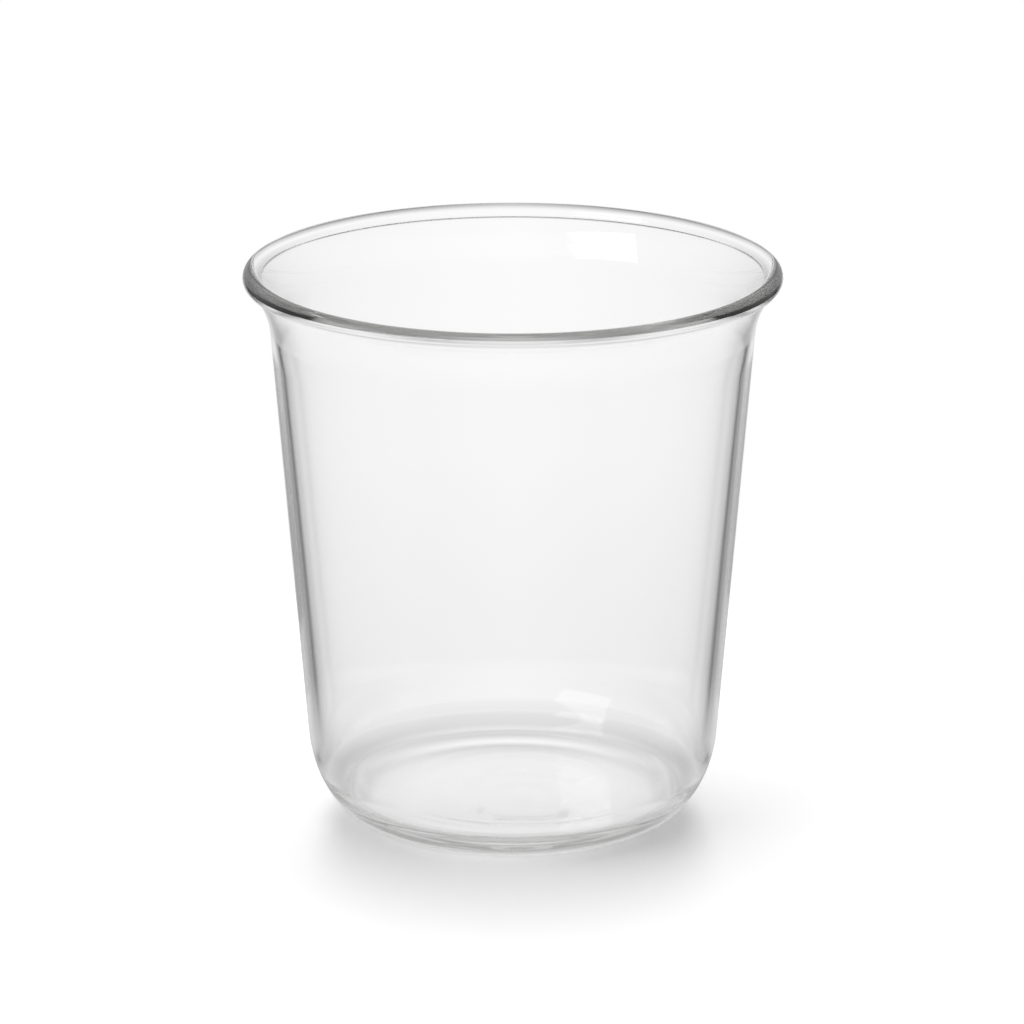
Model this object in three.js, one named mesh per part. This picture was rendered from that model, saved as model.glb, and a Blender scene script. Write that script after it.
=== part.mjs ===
// A low drinking glass with a flared rim, in clear glass.
// Millimetres, +Z up. The origin is the middle of the plane that the glass stands on.
// The glass is one body of revolution. Its section is divided across the wall into the zones
// that a glassmaker forms one after the other, and neighbouring zones share one face.
import * as THREE from 'three';

// Driving dimensions
const rimDiameter = 82; // across the outside of the lip
const height = 86.5; // from the table to the top of the lip
const lipThickness = 2.8; // fire-polished bead on the rim
const flareThickness = 2.2; // glass where the flare runs into the bead
const flareRadius = 12.7; // outside of the bend that opens the flare
const flareAngle = 40.5; // lean of the flare at the bead, in degrees from upright
const neckThickness = 1.5; // glass where the straight wall ends and the flare begins
const wallTaper = 4.8; // lean of the straight wall, in degrees from upright
const wallThickness = 2.1; // glass where the straight wall leaves the heel
const heelWidth = 10.2; // outside rounding of the heel, across
const heelHeight = 15.1; // outside rounding of the heel, upwards
const heelSink = 0.2; // lowest bit of that rounding, which the foot cuts off
const innerHeelWidth = 3.2; // inside rounding of the heel, across
const innerHeelHeight = 5; // inside rounding of the heel, upwards
const footWidth = 1.7; // flat ring that stands on the table
const recessWidth = 1.8; // soft step from the foot to the flat of the recess
const pushUp = 0.1; // rise of the underside within the foot
const floorHeight = 3.8; // edge of the inside floor above the table
const floorCrown = 0.3; // rise of the inside floor in its middle

// Steps of the facets
const turnSteps = 72;
const heelSteps = 10;
const flareSteps = 7;
const beadSteps = 10;
const recessSteps = 6;
const floorSteps = 5;

const taper = THREE.MathUtils.degToRad(wallTaper);
const flareLean = THREE.MathUtils.degToRad(flareAngle);

// Points of the section are (radius, height). A wall that leans outwards by an angle
// has this direction out of the glass, and this direction up along the glass.
const outOfWall = (lean) => new THREE.Vector2(Math.cos(lean), -Math.sin(lean));
const upWall = (lean) => new THREE.Vector2(Math.sin(lean), Math.cos(lean));
const offset = (point, direction, distance) => point.clone().addScaledVector(direction, distance);
const onLineAt = (from, to, z) => from.clone().lerp(to, (z - from.y) / (to.y - from.y));

// Lip: a round bead. The flare meets it where the bead is as wide as the flare is thick.
const beadRadius = lipThickness / 2;
const beadCentre = new THREE.Vector2(rimDiameter / 2 - beadRadius, height - beadRadius);
const beadOverlap = Math.acos(flareThickness / lipThickness);
const flareEnd = offset(beadCentre, upWall(flareLean), -beadRadius * Math.sin(beadOverlap));

function beadPoints() {
  const start = -flareLean - beadOverlap;
  const end = Math.PI - flareLean + beadOverlap;
  return new THREE.EllipseCurve(
    beadCentre.x, beadCentre.y, beadRadius, beadRadius, start, end,
  ).getPoints(beadSteps);
}

// Flare: an arc outside, with the glass growing from the neck's thickness to the flare's.
const flareCentre = offset(flareEnd, outOfWall(flareLean), flareRadius + flareThickness / 2);

function flarePoint(share, depthShare) {
  const lean = THREE.MathUtils.lerp(taper, flareLean, share);
  const thickness = THREE.MathUtils.lerp(neckThickness, flareThickness, share);
  return offset(flareCentre, outOfWall(lean), -flareRadius - depthShare * thickness);
}

function flarePoints(depthShare) {
  const shares = Array.from({ length: flareSteps + 1 }, (_, i) => i / flareSteps);
  return shares.map((share) => flarePoint(share, depthShare));
}

const neckOutside = flarePoint(0, 0);
const neckInside = flarePoint(0, 1);

// Heel: part of an ellipse that leaves a level line and ends on a leaning wall.
// The level line cuts off the lowest bit of the ellipse, as deep as the sink.
function heelArc(wallFoot, wallTop, levelHeight, width, rise, sink) {
  const lean = Math.atan2(wallTop.x - wallFoot.x, wallTop.y - wallFoot.y);
  const startAngle = -Math.asin(1 - sink / rise);
  const endAngle = -Math.atan((Math.tan(lean) * rise) / width);
  const middle = levelHeight - sink + rise;
  const end = onLineAt(wallFoot, wallTop, middle + rise * Math.sin(endAngle));
  const curve = new THREE.EllipseCurve(
    end.x - width * Math.cos(endAngle), middle, width, rise, startAngle, endAngle,
  );
  return { start: curve.getPoint(0), end, points: curve.getPoints(heelSteps) };
}

const wallFoot = offset(neckOutside, upWall(taper), -neckOutside.y / Math.cos(taper));
const outerHeel = heelArc(wallFoot, neckOutside, 0, heelWidth, heelHeight, heelSink);
const wallStartInside = offset(outerHeel.end, outOfWall(taper), -wallThickness);
const innerHeel = heelArc(
  wallStartInside, neckInside, floorHeight, innerHeelWidth, innerHeelHeight, 0,
);

// The wall begins where both roundings of the heel have ended.
const wallStart = Math.max(outerHeel.end.y, innerHeel.end.y);
const wallOutside = onLineAt(outerHeel.end, neckOutside, wallStart);
const wallInside = onLineAt(wallStartInside, neckInside, wallStart);

// Underside: a flat ring to stand on, and a soft step up to the flat of the recess.
const footInside = new THREE.Vector2(outerHeel.start.x - footWidth, 0);

function recessPoints() {
  const inner = footInside.x - recessWidth;
  const middle = footInside.x - recessWidth / 2;
  return new THREE.CubicBezierCurve(
    footInside,
    new THREE.Vector2(middle, 0),
    new THREE.Vector2(middle, pushUp),
    new THREE.Vector2(inner, pushUp),
  ).getPoints(recessSteps);
}

// Floor: a shallow crown that is level where it reaches the axis.
function floorPoints() {
  const crown = floorHeight + floorCrown;
  return new THREE.QuadraticBezierCurve(
    innerHeel.start,
    new THREE.Vector2(innerHeel.start.x / 2, crown),
    new THREE.Vector2(0, crown),
  ).getPoints(floorSteps);
}

const undersideMiddle = new THREE.Vector2(0, pushUp);

// Each zone is its closed outline, anticlockwise in the section. The base ends on the axis.
const zones = {
  base: [undersideMiddle, ...recessPoints().reverse(), ...floorPoints()],
  heel: [footInside, ...outerHeel.points, wallOutside, wallInside, ...innerHeel.points.toReversed()],
  wall: [wallOutside, neckOutside, neckInside, wallInside],
  flare: [...flarePoints(0), ...flarePoints(1).reverse()],
  lip: beadPoints(),
};

const glassColours = {
  base: 0xeceeed,
  heel: 0xe3e6e4,
  wall: 0xf1f3f2,
  flare: 0xeef0ef,
  lip: 0xa9afa9,
};

function clearGlass(colour) {
  return new THREE.MeshStandardMaterial({
    color: colour,
    roughness: 0.03,
    metalness: 0,
    transparent: true,
    opacity: 0.35,
  });
}

// Points that the roundings share with the flats are kept once.
function withoutRepeats(outline) {
  const apart = 1e-6;
  return outline.filter((point, i) => i === 0 || point.distanceTo(outline[i - 1]) > apart);
}

function revolve(name, outline) {
  const points = withoutRepeats(outline);
  const endsOnAxis = points[0].x === 0;
  const profile = endsOnAxis ? points : [...points, points[0]];
  const geometry = new THREE.LatheGeometry(profile, turnSteps);
  geometry.rotateX(Math.PI / 2);
  const mesh = new THREE.Mesh(geometry, clearGlass(glassColours[name]));
  mesh.name = name;
  return mesh;
}

const glass = new THREE.Group();
for (const [name, outline] of Object.entries(zones)) {
  glass.add(revolve(name, outline));
}

export default glass;
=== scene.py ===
import math
import bpy
import bmesh
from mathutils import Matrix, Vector, noise


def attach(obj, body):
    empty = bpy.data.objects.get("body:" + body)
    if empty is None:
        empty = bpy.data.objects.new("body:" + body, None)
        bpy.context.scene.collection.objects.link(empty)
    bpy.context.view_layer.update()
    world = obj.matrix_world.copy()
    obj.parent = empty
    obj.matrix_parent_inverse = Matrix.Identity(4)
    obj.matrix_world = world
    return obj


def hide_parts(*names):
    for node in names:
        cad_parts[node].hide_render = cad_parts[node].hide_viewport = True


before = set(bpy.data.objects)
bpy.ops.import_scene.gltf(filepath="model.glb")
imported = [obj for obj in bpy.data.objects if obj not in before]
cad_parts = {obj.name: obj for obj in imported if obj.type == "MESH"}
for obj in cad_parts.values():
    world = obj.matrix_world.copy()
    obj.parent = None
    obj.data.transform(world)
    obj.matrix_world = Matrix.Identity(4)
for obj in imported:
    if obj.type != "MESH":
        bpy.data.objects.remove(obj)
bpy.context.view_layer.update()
print("frame loaded:", ", ".join(sorted(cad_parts)))

scene = bpy.context.scene
mm = 0.001  # sizes below are millimetres unless a note says otherwise, Blender's are metres


def linearColour(hexCode):
    # sRGB hex to the linear colour that a socket takes
    channels = []
    for start in (0, 2, 4):
        value = int(hexCode[start:start + 2], 16) / 255
        if value <= 0.04045:
            channels.append(value / 12.92)
        else:
            channels.append(((value + 0.055) / 1.055) ** 2.4)
    return (*channels, 1.0)


def addNode(tree, kind, inputs=None, stops=None, **settings):
    # one node; an input is a value or the output that feeds it, and stops fill a ramp
    node = tree.nodes.new(kind)
    for name, value in settings.items():
        setattr(node, name, value)
    for socket, value in (inputs or {}).items():
        if isinstance(value, bpy.types.NodeSocket):
            tree.links.new(value, node.inputs[socket])
        else:
            node.inputs[socket].default_value = value
    for i, (place, level) in enumerate(stops or []):
        if i >= len(node.color_ramp.elements):
            node.color_ramp.elements.new(place)
        node.color_ramp.elements[i].position = place
        node.color_ramp.elements[i].color = (level, level, level, 1.0)
    return node


def shares(stops, whole):
    # stops of a ramp, from places written in millimetres or degrees
    return [(place / whole, level) for place, level in stops]


# Blown glass, one body turned from one section.
# The sizes are those of the CAD zones that it stands for, but for the softer recess.
glassBody = {
    "rimDiameter": 82.0,
    "height": 86.5,
    "lipThickness": 2.8,      # fire-polished bead
    "flareThickness": 2.2,
    "flareRadius": 12.7,
    "flareAngle": 40.5,       # degrees from upright
    "neckThickness": 1.5,
    "wallTaper": 4.8,         # degrees from upright
    "wallThickness": 2.1,
    "heelWidth": 10.2,
    "heelHeight": 15.1,
    "heelSink": 0.2,          # the lowest bit of the rounding, which the foot cuts off
    "innerHeelWidth": 3.2,
    "innerHeelHeight": 5.0,
    "footWidth": 1.7,
    "recessWidth": 6.0,       # slope from the foot up to the flat of the recess
    "pushUp": 0.1,
    "floorHeight": 3.8,
    "floorCrown": 0.3,
    "wallWave": 0.05,         # uneven thickness of the blown wall
    "wallWaveLength": 30.0,   # round the wall, and twice as long up it
    "waveStart": 3.0,         # clear of waves above the floor
    "waveEnd": 12.0,          # clear of waves below the rim
    "waveFade": 12.0,
    "ringHeight": 0.02,       # rings left in the floor by the mould
    "ringSpacing": 5.0,
    "ringCentre": (1.4, 2.0),
    "ringReach": 20.0,        # radius at which the rings have died out
    "ringFade": 8.0,
    "turnSteps": 256,
    "heelSteps": 28,
    "wallSteps": 16,
    "flareSteps": 28,
    "beadSteps": 40,
    "undersideSteps": 60,
    "floorSteps": 90,
}


def outOfWall(lean):
    return Vector((math.cos(lean), -math.sin(lean)))


def upWall(lean):
    return Vector((math.sin(lean), math.cos(lean)))


def smoothStep(x):
    x = min(1.0, max(0.0, x))
    return x * x * (3 - 2 * x)


def evenly(first, last, count):
    return [first + (last - first) * i / count for i in range(count + 1)]


def heelArc(wallFoot, wallTop, level, width, rise, sink, steps):
    # part of an ellipse, from a level line that cuts off its lowest bit up to a leaning wall
    lean = math.atan2(wallTop.x - wallFoot.x, wallTop.y - wallFoot.y)
    startAngle = -math.asin(1 - sink / rise)
    endAngle = -math.atan(math.tan(lean) * rise / width)
    middle = level - sink + rise
    endHeight = middle + rise * math.sin(endAngle)
    end = wallFoot.lerp(wallTop, (endHeight - wallFoot.y) / (wallTop.y - wallFoot.y))
    axis = end.x - width * math.cos(endAngle)
    points = []
    for angle in evenly(startAngle, endAngle, steps):
        points.append(Vector((axis + width * math.cos(angle), middle + rise * math.sin(angle))))
    return points


def sectionPoints(g):
    # points are (radius, height): the outside from the middle of the underside to the lip,
    # and the inside from there down to the middle of the floor
    taper = math.radians(g["wallTaper"])
    lean = math.radians(g["flareAngle"])
    bead = g["lipThickness"] / 2
    overlap = math.acos(g["flareThickness"] / g["lipThickness"])
    beadCentre = Vector((g["rimDiameter"] / 2 - bead, g["height"] - bead))
    flareEnd = beadCentre - upWall(lean) * bead * math.sin(overlap)
    flareCentre = flareEnd + outOfWall(lean) * (g["flareRadius"] + g["flareThickness"] / 2)
    outsideFlare = []
    insideFlare = []
    for share in evenly(0.0, 1.0, g["flareSteps"]):
        angle = taper + (lean - taper) * share
        thick = g["neckThickness"] + (g["flareThickness"] - g["neckThickness"]) * share
        outsideFlare.append(flareCentre - outOfWall(angle) * g["flareRadius"])
        insideFlare.append(flareCentre - outOfWall(angle) * (g["flareRadius"] + thick))
    beadRound = []
    for angle in evenly(-overlap, math.pi + overlap, g["beadSteps"])[1:-1]:
        side = outOfWall(lean) * math.cos(angle) + upWall(lean) * math.sin(angle)
        beadRound.append(beadCentre + side * bead)
    neck = outsideFlare[0]
    neckInside = insideFlare[0]
    wallFoot = neck - upWall(taper) * neck.y / math.cos(taper)
    outsideHeel = heelArc(
        wallFoot, neck, 0.0, g["heelWidth"], g["heelHeight"], g["heelSink"], g["heelSteps"])
    insideFoot = outsideHeel[-1] - outOfWall(taper) * g["wallThickness"]
    insideHeel = heelArc(
        insideFoot, neckInside, g["floorHeight"], g["innerHeelWidth"], g["innerHeelHeight"], 0.0,
        g["heelSteps"])
    recessEdge = outsideHeel[0].x - g["footWidth"]
    underside = []
    for share in evenly(0.0, 1.0, g["undersideSteps"]):
        radius = recessEdge * share
        rise = smoothStep((recessEdge - radius) / g["recessWidth"])
        underside.append(Vector((radius, g["pushUp"] * rise)))
    floorEdge = insideHeel[0].x
    floor = []
    for share in evenly(1.0, 0.0, g["floorSteps"])[1:]:
        crown = g["floorCrown"] * (1 - share * share)
        floor.append(Vector((floorEdge * share, g["floorHeight"] + crown)))
    wallShares = evenly(0.0, 1.0, g["wallSteps"])[1:-1]
    outsideWall = [outsideHeel[-1].lerp(neck, share) for share in wallShares]
    insideWall = [neckInside.lerp(insideHeel[-1], share) for share in wallShares]
    outside = underside + outsideHeel + outsideWall + outsideFlare + beadRound
    inside = insideFlare[::-1] + insideWall + insideHeel[::-1] + floor
    return outside, inside


def unevenness(g, radius, angle, height):
    # radius and height of an inside point, with the wall's waves and the floor's rings
    x = radius * math.cos(angle)
    y = radius * math.sin(angle)
    aboveFloor = height - g["floorHeight"] - g["waveStart"]
    belowRim = g["height"] - g["waveEnd"] - height
    onWall = smoothStep(aboveFloor / g["waveFade"]) * smoothStep(belowRim / g["waveFade"])
    length = g["wallWaveLength"]
    wave = noise.noise(Vector((x / length, y / length, height / length / 2))) * g["wallWave"] * onWall
    away = math.hypot(x - g["ringCentre"][0], y - g["ringCentre"][1])
    onFloor = smoothStep((g["ringReach"] - radius) / g["ringFade"])
    ring = g["ringHeight"] * math.cos(2 * math.pi * away / g["ringSpacing"]) * onFloor
    return radius + wave, height + ring


def turnGlass(g):
    outside, inside = sectionPoints(g)
    mesh = bmesh.new()
    rings = []
    for i, point in enumerate(outside + inside):
        isInside = i >= len(outside)
        if point.x < 1e-6:  # on the axis
            height = unevenness(g, 0.0, 0.0, point.y)[1] if isInside else point.y
            rings.append([mesh.verts.new((0.0, 0.0, height * mm))])
            continue
        ring = []
        for step in range(g["turnSteps"]):
            angle = 2 * math.pi * step / g["turnSteps"]
            radius, height = point
            if isInside:
                radius, height = unevenness(g, radius, angle, height)
            place = (radius * math.cos(angle) * mm, radius * math.sin(angle) * mm, height * mm)
            ring.append(mesh.verts.new(place))
        rings.append(ring)
    for below, above in zip(rings, rings[1:]):
        for step in range(g["turnSteps"]):
            after = (step + 1) % g["turnSteps"]
            if len(below) == 1:
                mesh.faces.new((below[0], above[after], above[step]))
            elif len(above) == 1:
                mesh.faces.new((below[step], below[after], above[0]))
            else:
                mesh.faces.new((below[step], below[after], above[after], above[step]))
    bmesh.ops.recalc_face_normals(mesh, faces=mesh.faces)
    data = bpy.data.meshes.new("glass_body")
    mesh.to_mesh(data)
    mesh.free()
    data.shade_smooth()
    return data


# Borosilicate glass, blown and fire-polished: clear and smooth, a faint grey where light runs far inside it,
# with the long low waves of blown glass in what shows through it.
borosilicate = {
    "colour": "ffffff",
    "ior": 1.473,
    "roughness": 0.0,
    "depthColour": "c9cac8",  # tint of light that crosses the lip or the base lengthways
    "depthDensity": 12.0,     # per metre
    "waveLength": 14.0,       # between the swells of the blown skin
    "waveDepth": 0.004,
    "waveDetail": 1.0,
    "waveRoughness": 0.4,
}


def makeBorosilicate(b):
    material = bpy.data.materials.new("borosilicate_glass")
    material.use_nodes = True
    tree = material.node_tree
    shader = tree.nodes["Principled BSDF"]
    shader.inputs["Base Color"].default_value = linearColour(b["colour"])
    shader.inputs["Roughness"].default_value = b["roughness"]
    shader.inputs["IOR"].default_value = b["ior"]
    shader.inputs["Transmission Weight"].default_value = 1.0
    place = addNode(tree, "ShaderNodeTexCoord").outputs["Object"]
    swell = addNode(
        tree, "ShaderNodeTexNoise",
        {"Vector": place, "Scale": 1 / (b["waveLength"] * mm), "Detail": b["waveDetail"],
         "Roughness": b["waveRoughness"]})
    bump = addNode(
        tree, "ShaderNodeBump",
        {"Height": swell.outputs["Fac"], "Distance": b["waveDepth"] * mm, "Strength": 1.0})
    tree.links.new(bump.outputs["Normal"], shader.inputs["Normal"])
    depth = addNode(
        tree, "ShaderNodeVolumeAbsorption",
        {"Color": linearColour(b["depthColour"]), "Density": b["depthDensity"]})
    tree.links.new(depth.outputs["Volume"], tree.nodes["Material Output"].inputs["Volume"])
    return material


glass = bpy.data.objects.new("glass_body", turnGlass(glassBody))
scene.collection.objects.link(glass)
glass.data.materials.append(makeBorosilicate(borosilicate))
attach(glass, "root")
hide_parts("base", "heel", "wall", "flare", "lip")
print("glass turned:", len(glass.data.vertices), "points")


# White studio paper under the glass. The open paper takes the real shadow, with a painted shade round the foot
# on top,
# and runs out into the white around it. Through the glass it shows as a glowing card with painted light and
# shade in rings:
# a painted contact shadow under the foot, a painted bright line outside it, and painted shade towards the
# sides.
paper = {
    "radius": 300.0,
    "edgeSteps": 96,
    "drop": 0.03,                       # below the foot, so that the two faces don't share a plane
    "colour": "f2f2f2",
    "glow": 0.4,
    "paintedShadeFrom": (0.0, -9.0, 0.0),      # middle of a painted shade round the foot, standing in for the shadow of the thick foot
    "paintedShadeRadius": 25.5,
    "paintedShadeSoft": (6.0, 34.0),           # width of its edge, at the sides and at the front
    "paintedShadeLevels": (0.74, 0.92),        # what it leaves of the light, at the sides and at the front
    "openFade": (90.0, 140.0),          # where the open paper runs out
    "glassFade": (45.0, 75.0),          # where it runs out in the glass
    "glassClear": (75.0, 190.0, 0.94),  # between these what lies past it clears to white, from this level
    "glassReach": 80.0,                 # radius that the levels below run to
    # radius and level from front to back: painted contact shadow at the foot, painted bright line outside it,
    # open card
    "paintedLevelsAlong": [
        (14.0, 0.9), (19.0, 0.78), (21.0, 0.56), (22.8, 1.0), (23.8, 1.0), (26.5, 0.67),
        (31.0, 0.86), (35.5, 0.75), (50.0, 0.81), (57.0, 0.56), (65.0, 0.22), (74.0, 0.0),
    ],
    # and from side to side, where the card is dimmer with painted shade
    "paintedLevelsAside": [
        (14.0, 0.9), (21.0, 0.78), (23.3, 0.56), (26.5, 0.73), (31.0, 0.43), (34.0, 0.36),
        (44.0, 0.52), (50.0, 0.52), (57.0, 0.35), (65.0, 0.17), (74.0, 0.0),
    ],
}


def makePaper(p):
    material = bpy.data.materials.new("studio_paper")
    material.use_nodes = True
    tree = material.node_tree
    tree.nodes.clear()
    ray = addNode(tree, "ShaderNodeLightPath")
    place = addNode(tree, "ShaderNodeNewGeometry").outputs["Position"]
    away = addNode(tree, "ShaderNodeVectorMath", {0: place}, operation="LENGTH").outputs["Value"]
    fades = []
    for near, far in (p["openFade"], p["glassFade"]):
        fade = addNode(
            tree, "ShaderNodeMapRange", {"Value": away, "From Min": near * mm, "From Max": far * mm},
            interpolation_type="SMOOTHSTEP")
        fades.append(fade.outputs[0])
    # open paper: a painted shade darkens its colour and glow round the foot, with a short edge at the sides
    # and a long one at the front
    paintedShadeFrom = [v * mm for v in p["paintedShadeFrom"]]
    offset = addNode(tree, "ShaderNodeVectorMath", {0: place, 1: paintedShadeFrom}, operation="SUBTRACT").outputs[0]
    spread = addNode(tree, "ShaderNodeVectorMath", {0: offset}, operation="LENGTH").outputs["Value"]
    paintedShadeAxes = addNode(tree, "ShaderNodeSeparateXYZ", {0: offset})
    front = addNode(tree, "ShaderNodeMath", {0: paintedShadeAxes.outputs["Y"], 1: 0.0}, operation="MINIMUM")
    front = addNode(tree, "ShaderNodeMath", {0: front.outputs[0], 1: spread}, operation="DIVIDE").outputs[0]
    front = addNode(tree, "ShaderNodeMath", {0: front, 1: front}, operation="MULTIPLY").outputs[0]
    sideSoft, frontSoft = p["paintedShadeSoft"]
    soft = addNode(
        tree, "ShaderNodeMapRange", {"Value": front, "To Min": sideSoft * mm, "To Max": frontSoft * mm})
    sideLevel, frontLevel = p["paintedShadeLevels"]
    least = addNode(tree, "ShaderNodeMapRange", {"Value": front, "To Min": sideLevel, "To Max": frontLevel})
    edge = addNode(tree, "ShaderNodeMath", {0: spread, 1: p["paintedShadeRadius"] * mm}, operation="SUBTRACT")
    edge = addNode(tree, "ShaderNodeMath", {0: edge.outputs[0], 1: soft.outputs[0]}, operation="DIVIDE")
    shade = addNode(
        tree, "ShaderNodeMapRange", {"Value": edge.outputs[0], "To Min": least.outputs[0]},
        interpolation_type="SMOOTHSTEP").outputs[0]
    white = linearColour(p["colour"])[:3]
    # the painted shade scales down both the paper's colour and its glow
    colour = addNode(tree, "ShaderNodeVectorMath", {0: white, "Scale": shade}, operation="SCALE")
    bright = addNode(tree, "ShaderNodeMath", {0: shade, 1: p["glow"]}, operation="MULTIPLY")
    diffuse = addNode(tree, "ShaderNodeBsdfDiffuse", {"Color": colour.outputs[0]})
    glow = addNode(tree, "ShaderNodeEmission", {"Strength": bright.outputs[0]})
    lit = addNode(tree, "ShaderNodeAddShader", {0: diffuse.outputs[0], 1: glow.outputs[0]})
    gone = addNode(tree, "ShaderNodeBsdfTransparent")
    openPaper = addNode(tree, "ShaderNodeMixShader", {0: fades[0], 1: lit.outputs[0], 2: gone.outputs[0]})
    # paper in the glass: a glowing card of painted light and shade, whose levels go from along to aside with
    # the turn
    reach = addNode(tree, "ShaderNodeMath", {0: away, 1: p["glassReach"] * mm}, operation="DIVIDE").outputs[0]
    levels = []
    for name in ("paintedLevelsAlong", "paintedLevelsAside"):
        ramp = addNode(tree, "ShaderNodeValToRGB", {0: reach}, stops=shares(p[name], p["glassReach"]))
        levels.append(ramp.outputs[0])
    axes = addNode(tree, "ShaderNodeSeparateXYZ", {0: place})
    turn = addNode(tree, "ShaderNodeMath", {0: axes.outputs["X"], 1: away}, operation="DIVIDE").outputs[0]
    side = addNode(tree, "ShaderNodeMath", {0: turn, 1: turn}, operation="MULTIPLY").outputs[0]
    level = addNode(tree, "ShaderNodeMix", {0: side, 2: levels[0], 3: levels[1]}, data_type="FLOAT")
    # the card glows though it is no lamp: its emission is the painted light and shade that the glass shows of
    # the paper
    card = addNode(tree, "ShaderNodeEmission", {"Color": (1, 1, 1, 1), "Strength": level.outputs[0]})
    near, far, clearLevel = p["glassClear"]
    clear = addNode(
        tree, "ShaderNodeMapRange",
        {"Value": away, "From Min": near * mm, "From Max": far * mm, "To Min": clearLevel})
    beyond = addNode(tree, "ShaderNodeMath", {0: fades[1], 1: clear.outputs[0]}, operation="MULTIPLY")
    beyond = addNode(tree, "ShaderNodeBsdfTransparent", {"Color": beyond.outputs[0]})
    cardPaper = addNode(tree, "ShaderNodeAddShader", {0: card.outputs[0], 1: beyond.outputs[0]})
    inGlass = addNode(
        tree, "ShaderNodeMath",
        {0: ray.outputs["Is Transmission Ray"], 1: ray.outputs["Is Glossy Ray"]}, operation="MAXIMUM")
    shown = addNode(
        tree, "ShaderNodeMixShader",
        {0: inGlass.outputs[0], 1: openPaper.outputs[0], 2: cardPaper.outputs[0]})
    addNode(tree, "ShaderNodeOutputMaterial", {"Surface": shown.outputs[0]})
    return material


bpy.ops.mesh.primitive_circle_add(
    radius=paper["radius"] * mm, vertices=paper["edgeSteps"], fill_type="NGON",
    location=(0.0, 0.0, -paper["drop"] * mm))
floorSheet = bpy.context.object
floorSheet.name = "paper_floor"
floorSheet.data.materials.append(makePaper(paper))
print("paper laid")


# White studio round the glass. Through the glass it is white panels with dark gaps, which draw the dark edges
# of clear glass. Reflections see a room that is dim at table height, and the paper is lit by two soft boxes,
# one high behind and one low at the left.
# Heights run from 0 straight down to 1 straight up. Turns are degrees, from 0 behind the glass to 180 in front
# of it and alike on both sides. The panels mirror at their fold, over and over.
studio = {
    "halfTurn": 180,
    "panelFold": 45,
    "panelTurns": [
        (0, 1.0), (12, 0.78), (20, 0.6), (26, 0.28), (31, 0.09), (36, 0.3), (40, 0.8), (45, 1.0),
    ],
    "panelHeights": [(0.0, 0.5), (0.08, 0.6), (0.16, 0.72), (0.21, 0.84), (0.28, 0.96), (0.33, 1.0)],
    "roomLevels": [
        (0.0, 1.1), (0.2, 1.0), (0.3, 0.0), (0.4, 0.0), (0.48, 0.6), (0.55, 0.73), (0.62, 0.72),
        (0.7, 1.05), (0.8, 0.75), (1.0, 0.65),
    ],
    # two bands of the room also change with the turn
    "lowBand": [(0.2, 0.0), (0.3, 1.0), (0.4, 0.0)],
    "lowTurns": [
        (0, 0.55), (20, 0.65), (26, 0.3), (31, 0.02), (37, 0.6), (45, 0.7), (60, 1.15), (90, 1.1),
        (120, 0.95), (140, 0.7), (180, 0.6),
    ],
    "highBand": [(0.3, 0.0), (0.4, 1.0), (0.48, 0.0)],
    "highTurns": [
        (0, 0.9), (20, 0.87), (26, 0.52), (31, 0.04), (37, 0.25), (45, 0.37), (60, 0.63), (120, 0.56),
        (180, 0.5),
    ],
    # azimuth, elevation and half width in degrees, and level
    "boxes": [(90, 60, 60, 1.93), (200, 20, 35, 2.0)],
}


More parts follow.
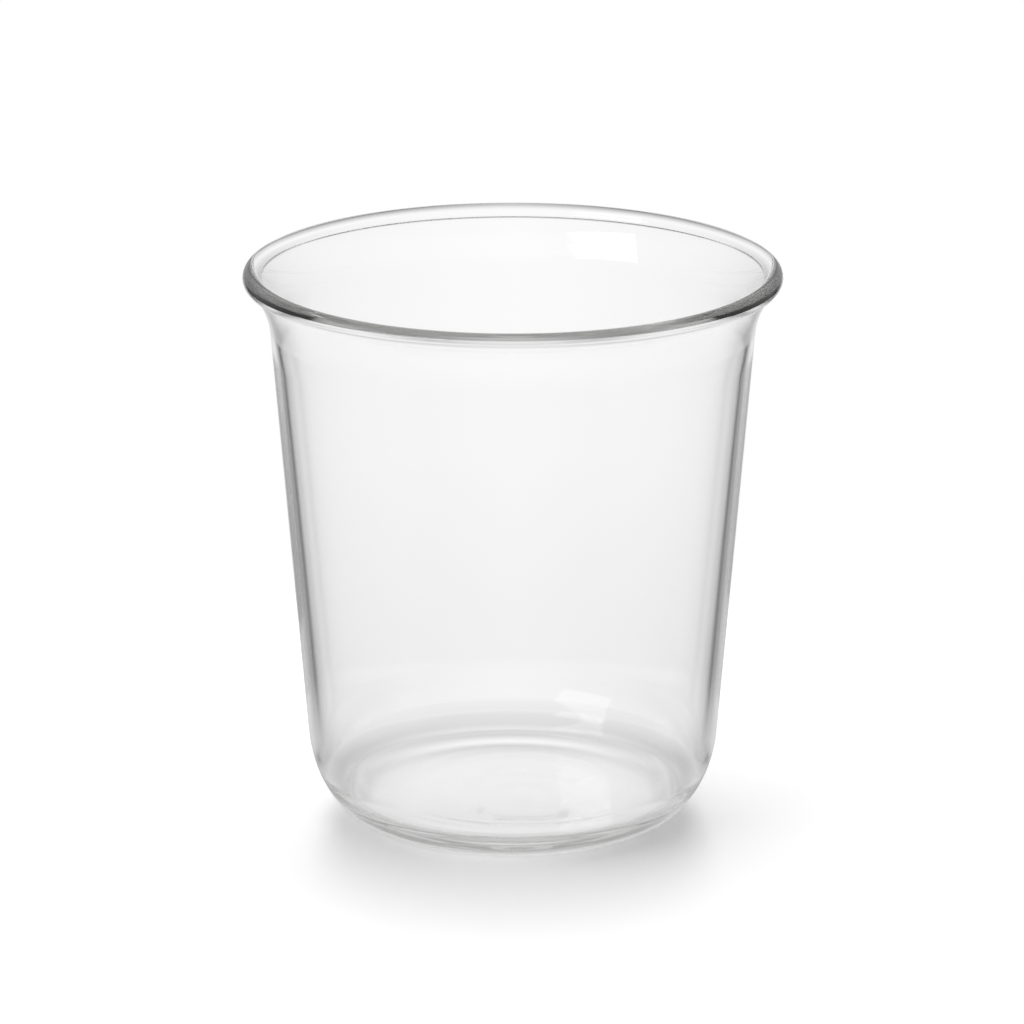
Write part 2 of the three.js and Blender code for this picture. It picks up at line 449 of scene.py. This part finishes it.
def makeStudio(s):
    world = bpy.data.worlds.new("white_studio")
    world.use_nodes = True
    # the levels differ by kind of ray, so only real rays read them
    world.cycles.sampling_method = "NONE"
    tree = world.node_tree
    tree.nodes.clear()
    ray = addNode(tree, "ShaderNodeLightPath")
    place = addNode(tree, "ShaderNodeTexCoord").outputs["Generated"]
    axes = addNode(tree, "ShaderNodeSeparateXYZ", {0: place})
    rise = addNode(
        tree, "ShaderNodeMath", {0: axes.outputs["Z"], 1: 0.5, 2: 0.5}, operation="MULTIPLY_ADD").outputs[0]
    aside = addNode(tree, "ShaderNodeMath", {0: axes.outputs["X"]}, operation="ABSOLUTE")
    angle = addNode(tree, "ShaderNodeMath", {0: aside.outputs[0], 1: axes.outputs["Y"]}, operation="ARCTAN2")
    turn = addNode(
        tree, "ShaderNodeMath", {0: angle.outputs[0], 1: 1 / math.pi}, operation="MULTIPLY").outputs[0]
    # panels that show through the glass
    fold = s["panelFold"] / s["halfTurn"]
    folded = addNode(tree, "ShaderNodeMath", {0: turn, 1: fold}, operation="PINGPONG")
    panels = addNode(
        tree, "ShaderNodeValToRGB", {0: folded.outputs[0]}, stops=shares(s["panelTurns"], s["halfTurn"]))
    dimmed = addNode(tree, "ShaderNodeValToRGB", {0: rise}, stops=s["panelHeights"])
    seenThrough = addNode(
        tree, "ShaderNodeMath", {0: panels.outputs[0], 1: dimmed.outputs[0]}, operation="MULTIPLY")
    # room that the glass reflects
    roomLevel = addNode(tree, "ShaderNodeValToRGB", {0: rise}, stops=s["roomLevels"]).outputs[0]
    for band, turns in (("lowBand", "lowTurns"), ("highBand", "highTurns")):
        share = addNode(tree, "ShaderNodeValToRGB", {0: rise}, stops=s[band])
        bandLevel = addNode(tree, "ShaderNodeValToRGB", {0: turn}, stops=shares(s[turns], s["halfTurn"]))
        roomLevel = addNode(
            tree, "ShaderNodeMath", {0: share.outputs[0], 1: bandLevel.outputs[0], 2: roomLevel},
            operation="MULTIPLY_ADD").outputs[0]
    # soft boxes that light the paper
    boxLevel = 0.0
    for azimuth, elevation, width, strength in s["boxes"]:
        flat = math.cos(math.radians(elevation))
        towards = (
            flat * math.cos(math.radians(azimuth)), flat * math.sin(math.radians(azimuth)),
            math.sin(math.radians(elevation)))
        near = addNode(tree, "ShaderNodeVectorMath", {0: place, 1: towards}, operation="DOT_PRODUCT")
        box = addNode(
            tree, "ShaderNodeMapRange",
            {"Value": near.outputs["Value"], "From Min": math.cos(math.radians(width)), "From Max": 1.0},
            interpolation_type="SMOOTHSTEP")
        boxLevel = addNode(
            tree, "ShaderNodeMath", {0: box.outputs[0], 1: strength, 2: boxLevel},
            operation="MULTIPLY_ADD").outputs[0]
    # each kind of ray reads its own level, and the camera itself sees plain white
    mirrored = addNode(tree, "ShaderNodeMath", {0: ray.outputs["Glossy Depth"], 1: 1.0}, operation="MINIMUM")
    onPaper = addNode(tree, "ShaderNodeMath", {0: ray.outputs["Diffuse Depth"], 1: 1.0}, operation="MINIMUM")
    kinds = [
        (mirrored.outputs[0], roomLevel),
        (onPaper.outputs[0], boxLevel),
        (ray.outputs["Is Camera Ray"], 1.0),
    ]
    level = seenThrough.outputs[0]
    for kind, kindLevel in kinds:
        level = addNode(
            tree, "ShaderNodeMix", {0: kind, 2: level, 3: kindLevel}, data_type="FLOAT").outputs[0]
    light = addNode(tree, "ShaderNodeBackground", {"Color": (1, 1, 1, 1), "Strength": level})
    addNode(tree, "ShaderNodeOutputWorld", {"Surface": light.outputs[0]})
    return world


scene.world = makeStudio(studio)

# One soft box at the front left, some 30 degrees up: its images inside the glass are the only highlights.
# Place, aim and size are metres, the power is watts.
softBox = {"place": (-0.86, -0.776, 0.67), "aim": (0.0, 0.0, 0.04), "size": (0.75, 0.45), "power": 2.3}

boxLight = bpy.data.lights.new("soft_box", "AREA")
boxLight.shape = "RECTANGLE"
boxLight.size, boxLight.size_y = softBox["size"]
boxLight.energy = softBox["power"]
boxLamp = bpy.data.objects.new("soft_box", boxLight)
boxLamp.location = softBox["place"]
boxLamp.rotation_euler = (Vector(softBox["aim"]) - boxLamp.location).to_track_quat("-Z", "Y").to_euler()
scene.collection.objects.link(boxLamp)
print("studio lit")

# Long lens from a metre away, looking a little down into the mouth.
view = {
    "distance": 1000.0,
    "height": 345.1,
    "tilt": 16.57,      # degrees down
    "lens": 239.3,
    "sensor": 36.0,
    "shift": -0.0008,   # share of the picture's width
    "clip": (10.0, 20000.0),
}

lens = bpy.data.cameras.new("camera")
lens.sensor_width = view["sensor"]
lens.lens = view["lens"]
lens.shift_x = view["shift"]
lens.clip_start = view["clip"][0] * mm
lens.clip_end = view["clip"][1] * mm
camera = bpy.data.objects.new("camera", lens)
camera.location = (0.0, -view["distance"] * mm, view["height"] * mm)
camera.rotation_euler = (math.radians(90 - view["tilt"]), 0.0, 0.0)
scene.collection.objects.link(camera)
scene.camera = camera

scene.view_settings.view_transform = "Standard"
# light runs along inside the wall and out at the lip, so it needs many bounces
scene.cycles.max_bounces = 64
scene.cycles.transmission_bounces = 64
scene.cycles.glossy_bounces = 64
scene.cycles.diffuse_bounces = 4
scene.cycles.transparent_max_bounces = 16
scene.cycles.sample_clamp_indirect = 10.0
